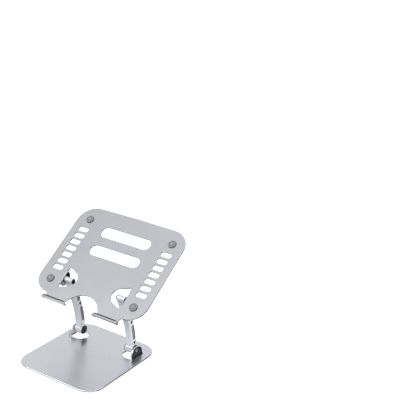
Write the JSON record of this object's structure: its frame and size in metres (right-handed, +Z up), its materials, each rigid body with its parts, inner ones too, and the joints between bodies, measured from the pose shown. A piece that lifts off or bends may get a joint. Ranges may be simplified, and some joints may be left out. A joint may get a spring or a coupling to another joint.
{
  "type": "laptop stand",
  "caption": "Folding laptop stand: flat base plate, two curved arms hinged on bent ears, and a slotted tilting top plate with front hook lips and rubber pads.",
  "frame": {"origin": "centre of the rubber mat's underside, on the desk", "axes": "+Z up, +X to the user's right, -Y towards the user; arms raised and top plate tilted for use"},
  "size_m": [0.26, 0.2583, 0.2403],
  "materials": {
    "base_metal": "satin bead-blasted",
    "plate_metal": "satin bead-blasted",
    "arm_metal": "satin with polished chamfers",
    "bright_steel": "bright",
    "spring_steel": "plain",
    "mat_rubber": "matt",
    "pad_rubber": "matt",
    "liner_rubber": "matt",
    "ear_plastic": "satin",
    "black_plastic": "matt"
  },
  "bodies": {
    "base": {"base_plate": "base_metal", "base_mat": "mat_rubber", "ear_cover_left": "ear_plastic", "ear_cover_right": "ear_plastic", "lower_pivot_bolt_left": "bright_steel", "lower_pivot_bolt_right": "bright_steel", "lower_friction_washer_left": "black_plastic", "lower_friction_washer_right": "black_plastic", "lower_disc_springs_left": "spring_steel", "lower_disc_springs_right": "spring_steel", "lower_lock_nut_left": "spring_steel", "lower_lock_nut_right": "spring_steel"},
    "left_arm": {"arm_left": "arm_metal", "lower_knuckle_cap_left": "black_plastic", "upper_knuckle_cap_left": "black_plastic"},
    "right_arm": {"arm_right": "arm_metal", "lower_knuckle_cap_right": "black_plastic", "upper_knuckle_cap_right": "black_plastic"},
    "hinge_pins": {"upper_pivot_bolt_left": "bright_steel", "upper_pivot_bolt_right": "bright_steel", "upper_disc_springs_left": "spring_steel", "upper_disc_springs_right": "spring_steel", "upper_lock_nut_left": "spring_steel", "upper_lock_nut_right": "spring_steel"},
    "top": {"top_plate": "plate_metal", "pad_rear_left": "pad_rubber", "pad_rear_right": "pad_rubber", "pad_front_left": "pad_rubber", "pad_front_right": "pad_rubber", "hook_liner_left": "liner_rubber", "hook_liner_right": "liner_rubber", "upper_friction_washer_left": "black_plastic", "upper_friction_washer_right": "black_plastic"}
  },
  "joints": [
    {"name": "arm_fold", "type": "hinge", "parent": "base", "child": "left_arm", "pos_m": [-0.065, 0.0545, 0.0182], "axis": [1, 0, 0], "range_deg": [-15, 56]},
    {"name": "right_arm_fold", "type": "hinge", "parent": "base", "child": "right_arm", "pos_m": [0.065, 0.0545, 0.0182], "axis": [1, 0, 0], "range_deg": [-15, 56]},
    {"name": "pins_level", "type": "hinge", "parent": "left_arm", "child": "hinge_pins", "pos_m": [-0.065, 0.0218, 0.1369], "axis": [1, 0, 0], "range_deg": [-56, 15]},
    {"name": "plate_tilt", "type": "hinge", "parent": "hinge_pins", "child": "top", "pos_m": [0, 0.0218, 0.1369], "axis": [1, 0, 0], "range_deg": [-35.7, 14.3]}
  ],
  "couplings": [
    {"joint": "right_arm_fold", "follows": "arm_fold", "ratio": 1},
    {"joint": "pins_level", "follows": "arm_fold", "ratio": -1}
  ]
}
